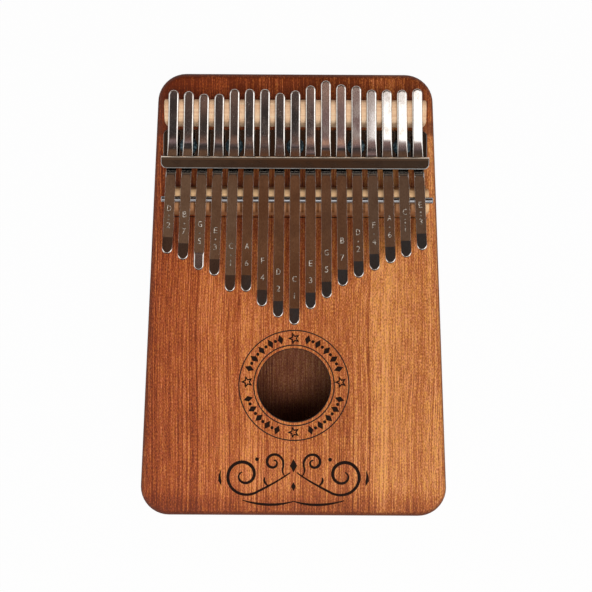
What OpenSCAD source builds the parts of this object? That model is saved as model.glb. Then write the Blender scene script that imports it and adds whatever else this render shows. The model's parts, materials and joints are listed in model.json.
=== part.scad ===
// A 17-tine box kalimba, one of the mbira family, lying on its back.
// Millimetres. X runs across the tines and Y from the player's end to the far end. Z goes up out of the soundboard.
// The origin is the middle of the back plate's outer face.

/* [Body] */
// Length of the body, from the player's end to the far end
body_len = 187; // [170:1:210]
// Width of the body at the player's end
body_w_near = 130.5; // [122:0.5:150]
// Width of the body at the far end
body_w_far = 115.5; // [112:0.5:130]
// Whole thickness of the body
body_h = 33; // [26:1:45]
// Radius of the two corners at the player's end
corner_r_near = 12; // [9:1:20]
// Radius of the two corners at the far end
corner_r_far = 12; // [9:1:20]
// Radius of the softened outer edges
edge_r = 3; // [0.5:0.25:3.25]
// Thickness of the soundboard
board_t = 4.5; // [3.5:0.5:6]
// Thickness of the back plate
back_t = 4; // [3.5:0.5:6]
// Thickness of the side walls
wall_t = 8; // [5:0.5:10]

/* [Sound hole] */
// Diameter of the sound hole
hole_d = 30.8; // [20:0.2:40]
// Distance from the player's end to the middle of the sound hole
hole_from_near = 55.3; // [45:0.1:65]
// Distance from the hole's edge to the inner engraved ring
ring_in = 1.6; // [1:0.1:4]
// Distance between the inner and the outer engraved ring
ring_apart = 6.2; // [3:0.1:10]
// Width of the engraved lines
ring_w = 0.5; // [0.3:0.1:1]
// Depth of the engraved lines
ring_depth = 0.3; // [0.1:0.05:0.8]

/* [Tines] */
// Distance between neighbouring tines at the bracket
tine_pitch = 6.4; // [6:0.1:7]
// Width of a tine
tine_w = 4.2; // [3.4:0.1:5]
// Thickness of a tine
tine_t = 1; // [0.7:0.05:1.5]
// Length of each tine from the rod to its tip, left to right
tine_free = [23, 25.5, 29.5, 32, 38.5, 38.5, 44.5, 49, 52, 45.5, 41, 36, 32.5, 29.5, 26.5, 24, 21]; // [18:60]
// Length of each tail past the middle of the rear bridge, left to right
tine_tail = [8, 7.5, 6.5, 6.5, 8.5, 8.5, 8.5, 7, 8, 10, 12, 10.5, 10, 8.5, 8.5, 8.5, 9]; // [6:14]
// Distance from the bracket to the point where the lines of the fanned tines meet
fan_reach = 1440; // [800:10:4000]
// Slope of the tongues, in degrees
tine_rise = 3; // [0:0.5:6]
// Length of the turned-up tip
tip_len = 7; // [4:0.5:10]
// Further slope of the tips, in degrees
tip_lift = 9; // [0:0.5:20]
// The tines, counted from 1, whose tips hang
hanging_tines = [3]; // [1:17]
// Further slope of a hanging tip, in degrees
hanging_lift = -8; // [-10:0.5:0]
// How far a tine can be slid each way for tuning
tune_travel = 1.5; // [0.5:0.1:2]
// Length of the cranked step in front of the bracket
ramp_len = 4.5; // [2.5:0.1:6]
// Extra length of a tine's flat stretch behind its slot
tail_flat = 2.8; // [0:0.1:4]

/* [Bridges and rod] */
// Distance from the far end of the body to the rod's axis
rod_from_far = 54; // [48:0.5:60]
// Diameter of the rod
rod_d = 2.6; // [2:0.1:4]
// How far each end of the rod stands out of the front bridge
rod_overhang = 1.5; // [0:0.1:4]
// Width of the front bridge at its foot
front_w = 12; // [10:0.5:14]
// Width of the front bridge at its top
front_top_w = 8.6; // [6:0.2:10]
// Height of the front bridge, which is also the height of the rod's axis
front_h = 6.2; // [5:0.1:9]
// Distance from the outer tines to the ends of the front bridge
front_margin = 3.8; // [2.5:0.1:6]
// Sideways offset of the front bridge and its rod
front_shift = 0.9; // [-2:0.1:2]
// Width of the rear bridge at its foot
rear_w = 11.6; // [9:0.2:14]
// Slope of the rear bridge's front and back faces, as a width
rear_batter = 1.4; // [0:0.1:2.5]
// Height of the rear bridge at its middle
rear_h = 7; // [6:0.1:9]
// Distance from the outer tines to the ends of the rear bridge
rear_margin = 3.3; // [2.5:0.1:6]
// Space between the bracket's flange and the rear bridge
rear_space = 1.5; // [0.5:0.1:3]
// Radius of the bridges' softened top edges
bridge_edge_r = 3; // [0.4:0.1:3.2]
// Radius of the bridges' corners, seen from above
bridge_corner_r = 1.6; // [0.5:0.1:3]

/* [Bracket] */
// Thickness of the bracket's sheet
sheet_t = 1.5; // [1:0.1:2]
// Distance from the rod's axis to the middle of the bracket's web
web_from_rod = 17.2; // [15.5:0.1:20]
// Depth of the top lip, measured from the back of the web
lip_len = 5.4; // [3.5:0.1:6]
// Depth of the flange, measured from the back of the web
flange_len = 11.7; // [10:0.1:14]
// Outer radius of the bends
bend_r = 1.8; // [1.7:0.1:2.4]
// Distance from the outer tines to the ends of the bracket
bracket_margin = 4.3; // [3.5:0.1:6]
// Radius of the bracket's corners
bracket_corner_r = 2.4; // [0.5:0.1:4]
// Free height between the slots and the lip
lip_room = 1.85; // [1.5:0.05:3]

/* [Screws and block] */
// The tines, counted from 1, that a screw lies under
screw_tines = [2, 5, 9, 13, 16]; // [1:17]
// Distance from the back of the web to the screws' axes
screw_from_web = 5; // [4.5:0.1:7]
// Outer diameter of the screw thread
screw_d = 3.4; // [2.8:0.1:4]
// Depth of the screw thread
thread_depth = 0.45; // [0.2:0.05:0.6]
// Pitch of the screw thread
thread_pitch = 1.2; // [0.8:0.1:1.6]
// Diameter of the screw head
head_d = 7.5; // [6:0.1:8.5]
// Height of the screw head
head_h = 2.4; // [1.6:0.1:3]
// Length of the arms of the cross recess in the head
recess_len = 3.8; // [2:0.1:5]
// Width of the arms of the cross recess
recess_w = 0.9; // [0.5:0.1:1.2]
// Depth of the cross recess
recess_depth = 1.3; // [0.6:0.1:1.5]
// Length of the screw inside the block
screw_bite = 7; // [5:0.5:12]
// Wood left under the end of the screws
block_under = 4; // [2:0.5:8]
// Width of the block
block_w = 18; // [12:1:24]

/* [Clearances] */
// Gap between the rod and the tines
rod_gap = 0.25; // [0.2:0.05:0.5]
// Gap between the rear bridge and the tails
rear_gap = 0.3; // [0.25:0.05:0.6]
// Gap above a tine in its slot
slot_gap = 0.15; // [0.05:0.05:0.4]
// Gap below a tine in its slot
slot_under = 0.5; // [0.2:0.1:0.8]
// Gap at each side of a tine in its slot
slot_side = 0.35; // [0.2:0.05:0.8]
// Gap between a tine's shank and its tongue, over the rod
split_gap = 0.16; // [0.14:0.02:0.3]
// Free height between the screw heads and the tines
head_room = 0.9; // [0.5:0.1:2]
// Radial clearance of the rod in its groove
rod_seat = 0.02; // [0.01:0.01:0.1]
// Radial clearance of the screws in the bracket and the soundboard
screw_clear = 0.2; // [0.1:0.05:0.5]
// Gap between the block's ends and the side walls
block_gap = 0.5; // [0.2:0.1:2]

/* [Hidden] */
$fn = 48;
hull_fn = 40;
count = len(tine_free);

// The side walls lean in by this angle. A side at an inset satisfies x cos + y sin = side_at(inset).
side_lean = atan((body_w_near - body_w_far) / 2 / body_len);
function side_at(inset) = cos(side_lean) * body_w_near / 2 - sin(side_lean) * body_len / 2 - inset;
function side_x(y, inset) = (side_at(inset) - sin(side_lean) * y) / cos(side_lean);

board_z = body_h - board_t;
far_y = body_len / 2;
near_y = -body_len / 2;
hole_y = near_y + hole_from_near;
min_corner_r = 1;

// Places along Y
rod_y = far_y - rod_from_far;
web_y = rod_y + web_from_rod;
screw_y = web_y + sheet_t / 2 + screw_from_web;
rear_from_rod = web_from_rod + sheet_t / 2 + flange_len + rear_space + rear_w / 2;
rear_y = rod_y + rear_from_rod;

// Heights above the soundboard: a tine's underside in its slot and over the rod, and the bracket's top
press_h = sheet_t + head_h + head_room;
seat_h = front_h + rod_d / 2 + rod_gap;
bracket_h = press_h + tine_t + slot_gap + lip_room + sheet_t;

// The tine's side view, with y measured from the rod
flat_spare = 0.35;
flat_half = sheet_t / 2 + tune_travel + flat_spare;
flat_far = web_from_rod + flat_half + tail_flat;
flat_near = web_from_rod - flat_half;
ramp_y = flat_near - ramp_len;
tail_slope = (rear_h + rear_gap - press_h) / (rear_from_rod - flat_far);

tine_span = (count - 1) * tine_pitch;
bracket_len = tine_span + 2 * bracket_margin;
front_len = tine_span + 2 * front_margin;
rear_len = tine_span + 2 * rear_margin;
rod_len = front_len + 2 * rod_overhang;
rod_chamfer = rod_d / 8;
block_len = 2 * side_x(screw_y + block_w / 2, wall_t) - 2 * block_gap;
pilot_d = screw_d - thread_depth;
pilot_spare = 0.5;
cut = 1;

function tine_x(i) = (i - (count - 1) / 2) * tine_pitch;
function fan_angle(i) = atan(tine_x(i) / fan_reach);
function hangs(i) = len([for (number = hanging_tines) if (number == i + 1) number]) > 0;
function tip_slope(i) = hangs(i) ? tan(tine_rise + hanging_lift) : tan(tine_rise + tip_lift);
function tine_name(i, piece) = str("tine_", i < 9 ? "0" : "", i + 1, "_", piece);

// Points of a tine's underside from its tail to its tip
function underside(i) = [
    [rear_from_rod + tine_tail[i], press_h + tail_slope * (rear_from_rod + tine_tail[i] - flat_far)],
    [flat_far, press_h],
    [flat_near, press_h],
    [ramp_y, seat_h - ramp_y * tan(tine_rise)],
    [tip_len - tine_free[i], seat_h + (tine_free[i] - tip_len) * tan(tine_rise)],
    [-tine_free[i], seat_h + (tine_free[i] - tip_len) * tan(tine_rise) + tip_len * tip_slope(i)],
];

// One corner of a plate: a disc whose top edge is rounded
module corner_disc(r, h, round_r) {
    rotate_extrude($fn = hull_fn) {
        square([r, h - round_r]);
        square([r - round_r, h]);
        intersection() {
            translate([r - round_r, h - round_r]) circle(round_r);
            square([r, h]);
        }
    }
}

// A plate with the body's outline, set in by inset, from z = 0 up to h
module body_slab(h, inset = 0, round_r = 0) {
    r_near = max(min_corner_r, corner_r_near - inset);
    r_far = max(min_corner_r, corner_r_far - inset);
    y_near = near_y + inset + r_near;
    y_far = far_y - inset - r_far;
    hull() for (side = [-1, 1]) {
        translate([side * side_x(y_near, inset + r_near), y_near, 0]) corner_disc(r_near, h, round_r);
        translate([side * side_x(y_far, inset + r_far), y_far, 0]) corner_disc(r_far, h, round_r);
    }
}

// Stands an outline drawn in Y and Z along X, centred on X = 0
module along_x(length) {
    translate([-length / 2, 0, 0]) rotate([90, 0, 90]) linear_extrude(length) children();
}

// Places its children at every screw, on top of the flange
module at_screws(z) {
    for (n = screw_tines) translate([tine_x(n - 1), screw_y, z]) children();
}

module engraved_ring(r) {
    rotate_extrude() translate([r - ring_w / 2, -ring_depth]) square([ring_w, ring_depth + cut]);
}

module soundboard() {
    color("peru") difference() {
        translate([0, 0, board_z]) body_slab(board_t, 0, edge_r);
        translate([0, hole_y, board_z - cut]) cylinder(d = hole_d, h = board_t + 2 * cut);
        translate([0, hole_y, body_h]) engraved_ring(hole_d / 2 + ring_in);
        translate([0, hole_y, body_h]) engraved_ring(hole_d / 2 + ring_in + ring_apart);
        at_screws(board_z - cut) cylinder(d = screw_d + 2 * screw_clear, h = board_t + 2 * cut);
    }
}

module side_frame() {
    color("sienna") difference() {
        translate([0, 0, back_t]) body_slab(board_z - back_t);
        translate([0, 0, back_t - cut]) body_slab(board_z - back_t + 2 * cut, wall_t);
    }
}

module back_plate() {
    color("peru") translate([0, 0, back_t]) mirror([0, 0, 1]) body_slab(back_t, 0, edge_r);
}

module screw_block() {
    block_h = screw_bite + block_under;
    color("burlywood") difference() {
        translate([-block_len / 2, screw_y - block_w / 2, board_z - block_h]) cube([block_len, block_w, block_h]);
        at_screws(board_z - screw_bite - pilot_spare) cylinder(d = pilot_d, h = screw_bite + pilot_spare + cut);
    }
}

// A wooden bar: its end view is given as a child, and its corners are rounded in plan
module bridge_bar(length, width) {
    intersection() {
        along_x(length) children();
        linear_extrude(body_h) offset(bridge_corner_r) offset(delta = -bridge_corner_r)
            square([length, width], center = true);
    }
}

// Rounds the top corners of an end view and keeps its foot sharp
module soft_top() {
    intersection() {
        offset(bridge_edge_r) offset(delta = -bridge_edge_r) children();
        translate([-body_w_near / 2, 0]) square([body_w_near, body_h]);
    }
}

module rear_bridge() {
    foot = rear_w / 2;
    top = rear_w / 2 - rear_batter;
    below = 2 * bridge_edge_r;
    color("wheat") translate([0, rear_y, body_h]) bridge_bar(rear_len, rear_w) soft_top() polygon([
        [-foot, -below],
        [-foot, 0],
        [-top, rear_h - tail_slope * top],
        [top, rear_h + tail_slope * top],
        [foot, 0],
        [foot, -below],
    ]);
}

module front_bridge() {
    foot = front_w / 2;
    top = front_top_w / 2;
    below = 2 * bridge_edge_r;
    color("wheat") translate([front_shift, rod_y, body_h]) difference() {
        bridge_bar(front_len, front_w) soft_top()
            polygon([[-foot, -below], [-foot, 0], [-top, front_h], [top, front_h], [foot, 0], [foot, -below]]);
        translate([0, 0, front_h]) rotate([0, 90, 0])
            cylinder(r = rod_d / 2 + rod_seat, h = front_len + 2 * cut, center = true);
    }
}

module bridge_rod() {
    r = rod_d / 2;
    half = rod_len / 2;
    color("silver") translate([front_shift, rod_y, body_h + front_h]) rotate([0, 90, 0]) rotate_extrude() polygon([
        [0, -half],
        [r - rod_chamfer, -half],
        [r, rod_chamfer - half],
        [r, half - rod_chamfer],
        [r - rod_chamfer, half],
        [0, half],
    ]);
}

// A quarter of a bend in the sheet, in the given quadrant
module bend(quadrant) {
    intersection() {
        difference() {
            circle(bend_r);
            circle(bend_r - sheet_t);
        }
        rotate(90 * quadrant) square(2 * bend_r);
    }
}

// What a rounded corner takes off the sheet, for a corner that points along +X and +Y
module corner_cut() {
    translate([0, 0, -cut]) linear_extrude(bracket_h + 2 * cut) translate([-bracket_corner_r, -bracket_corner_r])
        difference() {
            square(bracket_corner_r + cut);
            circle(bracket_corner_r);
        }
}

module tine_bracket() {
    back = sheet_t / 2;
    slot_h = slot_under + tine_t + slot_gap;
    slot_w = tine_w + 2 * slot_side;
    color("slategray") translate([0, web_y, body_h]) difference() {
        along_x(bracket_len) {
            translate([bend_r - back, 0]) square([flange_len + 2 * back - bend_r, sheet_t]);
            translate([-back, bend_r]) square([sheet_t, bracket_h - 2 * bend_r]);
            translate([back - lip_len, bracket_h - sheet_t]) square([lip_len - bend_r, sheet_t]);
            translate([bend_r - back, bend_r]) bend(2);
            translate([back - bend_r, bracket_h - bend_r]) bend(0);
        }
        for (i = [0 : count - 1]) translate([tine_x(i) - slot_w / 2, -sheet_t, press_h - slot_under])
            cube([slot_w, 2 * sheet_t, slot_h]);
        translate([0, -web_y, 0]) at_screws(-cut) cylinder(d = screw_d + 2 * screw_clear, h = sheet_t + 2 * cut);
        for (side = [0, 1]) mirror([side, 0, 0]) {
            translate([bracket_len / 2, back + flange_len, 0]) corner_cut();
            translate([bracket_len / 2, back - lip_len, 0]) mirror([0, 1, 0]) corner_cut();
        }
    }
}

// One screw with the underside of its head at z = 0
module screw() {
    r = screw_d / 2;
    core = r - thread_depth;
    dome_r = (head_h * head_h + head_d * head_d / 4) / (2 * head_h);
    plain = sheet_t + board_t;
    turns = floor((screw_bite - r) / thread_pitch);
    difference() {
        union() {
            intersection() {
                translate([0, 0, head_h - dome_r]) sphere(dome_r);
                cylinder(d = head_d + cut, h = head_h + cut);
            }
            rotate_extrude() polygon(concat(
                [[0, cut], [r, cut], [r, -plain]],
                [for (k = [0 : turns - 1], s = [0, 1]) [s == 0 ? core : r, -plain - (k + (s + 1) / 2) * thread_pitch]],
                [[core, -plain - turns * thread_pitch - thread_depth], [0, -plain - screw_bite]]
            ));
        }
        for (a = [0, 90]) rotate(a) translate([-recess_len / 2, -recess_w / 2, head_h - recess_depth])
            cube([recess_len, recess_w, head_h]);
    }
}

module bracket_screws() {
    color("dimgray") at_screws(body_h + sheet_t) screw();
}

// A whole tine in its place, fanned about the point where it passes the web
module tine(i) {
    low = underside(i);
    high = [for (k = [len(low) - 1 : -1 : 0]) low[k] + [0, tine_t]];
    tail_end = low[0].x - tine_w / 2;
    tip_end = tine_w / 2 - tine_free[i];
    translate([tine_x(i), web_y, body_h]) rotate(fan_angle(i)) translate([0, -web_from_rod, 0]) intersection() {
        along_x(tine_w) polygon(concat(low, high));
        linear_extrude(body_h) {
            translate([-tine_w / 2, tip_end]) square([tine_w, tail_end - tip_end]);
            translate([0, tail_end]) circle(d = tine_w);
            translate([0, tip_end]) circle(d = tine_w);
        }
    }
}

// The half of space on one side of the rod's axis, less half of the split
module beyond_rod(side) {
    translate([-body_w_near, side > 0 ? rod_y + split_gap / 2 : rod_y - split_gap / 2 - body_len, 0])
        cube([2 * body_w_near, body_len, 3 * body_h]);
}

module tine_shank(i) {
    color("gainsboro") intersection() {
        tine(i);
        beyond_rod(1);
    }
}

module tine_tongue(i) {
    color("silver") intersection() {
        tine(i);
        beyond_rod(-1);
    }
}

soundboard();
side_frame();
back_plate();
screw_block();
rear_bridge();
front_bridge();
bridge_rod();
tine_bracket();
bracket_screws();
for (i = [0 : count - 1]) {
    tine_shank(i);
    tine_tongue(i);
}
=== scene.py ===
"""A 17-tine box kalimba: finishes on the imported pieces, drawn tines, burnt ornament, light and camera."""

import json
import math
import random

import bmesh
import bpy
import numpy as np
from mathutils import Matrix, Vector


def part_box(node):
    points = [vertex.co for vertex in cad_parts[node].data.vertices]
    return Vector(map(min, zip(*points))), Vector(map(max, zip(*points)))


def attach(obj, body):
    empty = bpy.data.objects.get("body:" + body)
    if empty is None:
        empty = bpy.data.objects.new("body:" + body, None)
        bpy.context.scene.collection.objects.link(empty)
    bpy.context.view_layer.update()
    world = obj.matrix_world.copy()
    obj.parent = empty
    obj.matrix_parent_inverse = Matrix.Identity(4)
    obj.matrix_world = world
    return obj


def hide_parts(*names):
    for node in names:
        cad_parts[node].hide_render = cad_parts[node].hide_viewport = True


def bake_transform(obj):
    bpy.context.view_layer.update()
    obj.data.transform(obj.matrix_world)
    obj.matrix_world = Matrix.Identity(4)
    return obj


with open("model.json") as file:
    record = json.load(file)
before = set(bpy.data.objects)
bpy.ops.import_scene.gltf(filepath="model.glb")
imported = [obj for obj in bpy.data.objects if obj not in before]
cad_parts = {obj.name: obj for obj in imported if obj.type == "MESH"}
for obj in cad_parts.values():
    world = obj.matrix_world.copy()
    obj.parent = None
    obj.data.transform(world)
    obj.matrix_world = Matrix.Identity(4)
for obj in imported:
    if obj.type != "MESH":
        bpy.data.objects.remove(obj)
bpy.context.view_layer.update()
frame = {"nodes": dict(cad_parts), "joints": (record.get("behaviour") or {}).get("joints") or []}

MM = 0.001
nodes = frame["nodes"]
joints = {joint["name"]: joint for joint in frame["joints"]}

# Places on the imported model: the soundboard's top in metres, the rest in mm
BOARD_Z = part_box("soundboard")[1].z
ROD_Y = sum(corner.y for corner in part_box("bridge_rod")) / 2 / MM
LIP_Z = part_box("tine_bracket")[1].z / MM
# Where the painted highlight on the rear of the lip begins
LIP_HIGHLIGHT_Y = ROD_Y + 16.2

# Side view of a tine in mm: y runs from the rod towards the tail, z goes up from the soundboard
TINE_COUNT = 17
TINE_W = 4.2
TINE_PITCH = 6.4
TINE_T = 1.0
PRESS_H = 4.8
SEAT_H = 7.75
FLAT_FAR = 22.6
FLAT_NEAR = 14.6
RAMP_Y = 10.1
TIP_LEN = 7
TONGUE_RISE = math.tan(math.radians(3))
TIP_RISE = math.tan(math.radians(12))
DROOPING_TINE = 3
DROOPING_TIP_RISE = math.tan(math.radians(-5))
TAIL_RISE = 2.5 / 14.35
BEND_R = 0.3
TAIL_BEND_R = 5.5

# Rounded edges of a tine, in mm
TAIL_BEVEL = 0.6
TONGUE_BEVEL = 0.035
RAMP_BEVEL = 0.9
TIP_BEVEL = 0.5
BEVEL_H = 0.45
UNDER_BEVEL = 0.15
HOLD = 0.06
BEVEL_STEPS = 6
END_STEPS = 10
TIP_ROUND = 1.2
DROOPING_ROUND_GAP = 0.6

# Rows of points along a tine: how many there are, and how close they lie in mm
ROW_COUNT = 36
BEND_ROWS = 9
BEND_REACH = 0.8
ROD_ROW_STEP = 0.6
ROW_GAP = 0.15
SIDE_STEP = 0.05
SAME_POINT = 0.001

# How far a tine may lean, as a slope, where it twists, and how far its tail may bow and its bend stray, in mm
TAIL_LEAN = 0.014
TONGUE_LEAN = 0.012
TAIL_TWIST = 4
TONGUE_TWIST_NEAR = 1
TONGUE_TWIST_FAR = 6
TAIL_BOW = 0.05
BEND_STRAY = 1.4
LEAN_SEED = 376

# The stretch of a tine, from the rod, over which a pressed tongue bends
BEND_START = 1.0
BEND_END = -5.0

# Marks stamped on the tines, in mm above the crease of the tip
SCALE_NOTES = "CDEFGAB"
NUMBER_UP = 5.0
DOT_UP = 8.2
DOT_PITCH = 1.5
LETTER_UP = 12.0
GLYPH_H = 2.5
GLYPH_W = 1.65
GLYPH_LEVEL = 0.01
DOT_R = 0.36
DOT_SIDES = 12
MARK_DEPTH = 0.05
MARK_PROUD = 0.012

# Burnt ornament on the soundboard, in mm
HOLE_Y = -38.2
HOLE_R = 15.4
INNER_RING_R = 17.0
OUTER_RING_R = 23.2
RING_W = 0.5
STAR_AT_R = 19.8
STAR_R = 2.75
STAR_INNER_R = 1.3
STAR_WAIST = 0.46
SIDE_STAR_UP = math.radians(4)
MOTIF_AT_R = 20.1
MOTIF_STEP = math.radians(6.6)
MOTIF_COUNT = 9
LOZENGE = (1.25, 2.1)
ROSETTE_DOT_R = 0.7
ORNAMENT_DOT_SIDES = 16
SCROLL_Y = -75.6
SCROLL_SCALE = 1.1
CURL_EASE = 0.85
SCROLL_DOT_R = 0.75
SCROLL_DOT_AT = (14.0, 5.6)
SCROLL_LOZENGES = ((3.2, 2.6), (-4.8, 1.7))
SCROLL_LOZENGE_W = 0.55
BRIDGE_LINE_OFF = 1.0
BRIDGE_LINE_W = 0.4
BURN_DOWN = 0.08
BURN_UP = 0.03

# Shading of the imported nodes: angles that tell edges apart, and the weld and the broken edges in mm
TRUE_EDGE = math.radians(28)
FLAT_EDGE = math.radians(1)
BROKEN_EDGE = math.radians(40)
BROKEN_STEPS = 3
WELD = 0.002
BRIDGE_EDGE = 0.5
BRACKET_EDGE = 0.32

# Light of the studio: colours of the ceiling, levels of the white panels and height of the lamps in metres
CEILING_DARK = (0.046, 0.039, 0.038, 1.0)
CEILING_MAUVE = (0.3, 0.215, 0.23, 1.0)
CEILING_BROWN = (0.26, 0.15, 0.115, 1.0)
CEILING_WARM = (0.14, 0.058, 0.028, 1.0)
CEILING_AMBER = (0.19, 0.085, 0.043, 1.0)
CEILING_LEFT = (0.185, 0.106, 0.066, 1.0)
CEILING_RIGHT = (0.15, 0.088, 0.058, 1.0)
CEILING_RUST = (0.075, 0.04, 0.026, 1.0)
CEILING_WARM_Y = 0.2
CEILING_GLOW = (0.27, 0.175, 0.168, 1.0)
CEILING_PEACH = (0.58, 0.33, 0.24, 1.0)
STRIP_LAMP = (1.3, 1.3, 1.3, 1.0)
FAR_WALL = (0.13, 0.095, 0.07, 1.0)
LEFT_PANEL = 1.7
RIGHT_PANEL = 2.3
PANEL_SPILL = 0.3
WINDOW_SLANT = 0.6
LAMP_H = 1.1

# Floor: half its width in metres, its depth below the object in mm, its two shades, and how much it glows
FLOOR_HALF = 3.0
FLOOR_DOWN = 0.2
FLOOR_DARK = (0.72, 0.72, 0.72, 1.0)
FLOOR_LIGHT = (0.75, 0.75, 0.75, 1.0)
FLOOR_GLOW = 0.97

# Camera: its place and sensor in mm, its roll, and its focal length in pixels of the picture
CAMERA_AT = (0.66, -0.485, 483.0)
CAMERA_ROLL = math.radians(0.3)
SENSOR = 36.0
FOCAL_PIXELS = 1067
PICTURE_W = 592


def smooth(value, low, high):
    """Goes from 0 at low to 1 at high along an s-shaped curve."""
    share = min(max((value - low) / (high - low), 0.0), 1.0)
    return share * share * (3 - 2 * share)


class Graph:
    """The node tree of a material or a world, with short ways to add nodes to it."""

    def __init__(self, owner):
        owner.use_nodes = True
        self.owner = owner
        self.tree = owner.node_tree

    def put(self, node, key, value):
        """Links an output to a node's input, or sets the input's value."""
        if isinstance(value, bpy.types.NodeSocket):
            self.tree.links.new(value, node.inputs[key])
        else:
            node.inputs[key].default_value = value

    def add(self, kind, inputs=None, **settings):
        node = self.tree.nodes.new("ShaderNode" + kind)
        for key, value in settings.items():
            setattr(node, key, value)
        for key, value in (inputs or {}).items():
            self.put(node, key, value)
        return node

    def shade(self, **inputs):
        """Sets or links inputs of the shader, named with _ for a space."""
        for key, value in inputs.items():
            self.put(self.tree.nodes["Principled BSDF"], key.replace("_", " "), value)

    def math(self, operation, *values):
        return self.add("Math", dict(enumerate(values)), operation=operation).outputs[0]

    def absolute(self, value):
        return self.math("ABSOLUTE", value)

    def span(self, value, low, high, start=0.0, end=1.0):
        """Start where value is low, end where it is high, and smooth between."""
        inputs = {"Value": value, "From Min": low, "From Max": high, "To Min": start, "To Max": end}
        return self.add("MapRange", inputs, interpolation_type="SMOOTHSTEP").outputs[0]

    def within(self, *spans):
        """A share that is 1 only where every one of the spans is."""
        share = self.span(*spans[0])
        for span in spans[1:]:
            share = self.math("MULTIPLY", share, self.span(*span))
        return share

    def mix(self, share, first, second, blend="MIX"):
        node = self.add("Mix", {0: share, 6: first, 7: second}, data_type="RGBA", blend_type=blend)
        return node.outputs[2]

    def cover(self, colour, over, share, strength):
        """The colour with another one laid over it, by a share times a strength."""
        return self.mix(self.math("MULTIPLY", share, strength), colour, over)

    def moved(self, vector, step):
        return self.add("VectorMath", {0: vector, 1: step}, operation="ADD").outputs[0]

    def scaled(self, vector, scale):
        return self.add("VectorMath", {0: vector, 1: scale}, operation="MULTIPLY").outputs[0]

    def place(self):
        """The point on the piece, in mm."""
        point = self.add("TexCoord").outputs["Object"]
        return self.scaled(point, (1 / MM, 1 / MM, 1 / MM))

    def normal(self):
        """How far the surface faces right, away and up."""
        return self.parts(self.add("TexCoord").outputs["Normal"])

    def parts(self, vector):
        return self.add("SeparateXYZ", {0: vector}).outputs

    def noise(self, vector, size, detail=2.0, rough=0.5):
        """Noise whose blobs have the given size in mm along each axis."""
        stretched = self.scaled(vector, tuple(1 / length for length in size))
        inputs = {"Vector": stretched, "Scale": 1.0, "Detail": detail, "Roughness": rough}
        return self.add("TexNoise", inputs).outputs[0]

    def ramp(self, value, stops):
        node = self.add("ValToRGB", {0: value})
        band = node.color_ramp
        while len(band.elements) < len(stops):
            band.elements.new(0.5)
        for element, (position, colour) in zip(band.elements, stops):
            element.position = position
            element.color = colour
        return node.outputs[0]

    def bump(self, height, distance, strength):
        inputs = {"Height": height, "Distance": distance * MM, "Strength": strength}
        self.shade(Normal=self.add("Bump", inputs).outputs[0])


def material_graph(name):
    return Graph(bpy.data.materials.new(name))


def rgb(red, green, blue):
    """A colour from the values 0 to 255 that a screen shows."""
    def linear(value):
        share = value / 255
        return share / 12.92 if share <= 0.04045 else ((share + 0.055) / 1.055) ** 2.4
    return (linear(red), linear(green), linear(blue), 1.0)


# Colours of the woods and metals
WOOD_DARK = rgb(112, 47, 13)
WOOD_MID = rgb(188, 104, 58)
WOOD_LIGHT = rgb(250, 180, 120)
WOOD_GOLD = rgb(255, 252, 214)
WOOD_ROSE = rgb(255, 245, 255)
WOOD_PORE = rgb(90, 34, 10)
# Painted shade on the rounded edges of the boards and on the soundboard near the bracket
WOOD_EDGE_SHADE = rgb(84, 34, 12)
# Painted shade under the tines and painted shadow behind the front bridge
WOOD_SHADE = rgb(50, 10, 2)
# Painted shade inside the box
INSIDE_SHADE = (0.37, 0.4, 0.58, 1.0)
# Redder and darker to the left, lighter to the right: partly the wood's own colour, partly painted light from
# the right
LEFT_TINT_AND_SHADE = rgb(244, 224, 206)
RIGHT_TINT_AND_LIGHT = rgb(251, 255, 240)
BURNT = rgb(22, 10, 6)
CHAR_DARK = rgb(18, 9, 6)
CHAR_BROWN = rgb(46, 24, 14)
MAPLE_DARK = rgb(232, 184, 142)
MAPLE_MID = rgb(253, 214, 174)
MAPLE_LIGHT = rgb(255, 232, 198)
MAPLE_FLECK = rgb(186, 138, 98)
MAPLE_AMBER = rgb(247, 202, 144)
# Painted shade on the front bridge in front of the rod, under the tines
MAPLE_SHADE = rgb(188, 136, 94)
# Painted shade in the middle of each gap between the tines, on the front bridge's low edge
MAPLE_GAP_SHADE = rgb(120, 76, 42)
STEEL_CLEAN = rgb(218, 214, 209)
STEEL_RUBBED = rgb(202, 194, 186)
STEEL_GRIT = rgb(239, 237, 235)
# Painted shade on the end of a tine's tip
STEEL_TIP_END_SHADE = rgb(62, 56, 52)
STAMP_DULL = rgb(118, 104, 90)
STAMP_BRIGHT = rgb(218, 211, 200)
ROD_STEEL = rgb(146, 146, 148)
CHROME_CLEAN = rgb(150, 150, 148)
CHROME_SMUDGED = rgb(134, 132, 128)
# Painted highlight on the rear of the lip
CHROME_PAINTED_HIGHLIGHT = rgb(214, 200, 184)
# Painted shade on the bracket's flange
CHROME_SHADE = rgb(70, 62, 54)
ZINC_DARK = rgb(44, 66, 76)
ZINC_RUBBED = rgb(120, 150, 162)
WHITE = (1.0, 1.0, 1.0, 1.0)

# Figure of the mahogany: each noise's size in mm along X, Y and Z, its detail, and its roughness if not 0.5
WANDER = ((30, 90, 30), 1.0)
BANDS = ((7, 420, 7), 2.0)
STREAKS = ((0.5, 200, 0.5), 1.0, 0.6)
FIBRES = ((0.36, 8, 0.36), 1.0, 0.6)
FLECK = ((0.3, 0.9, 0.3), 1.0)
PORES = ((0.34, 4.2, 0.34), 1.0)
SHEEN = ((0.42, 1.8, 0.42), 1.0)
SWAY = 5.0

# Tone of the mahogany, where 0.5 is its middle colour: places and widths in mm, and what each adds
WOOD_TONE = 0.51
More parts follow.
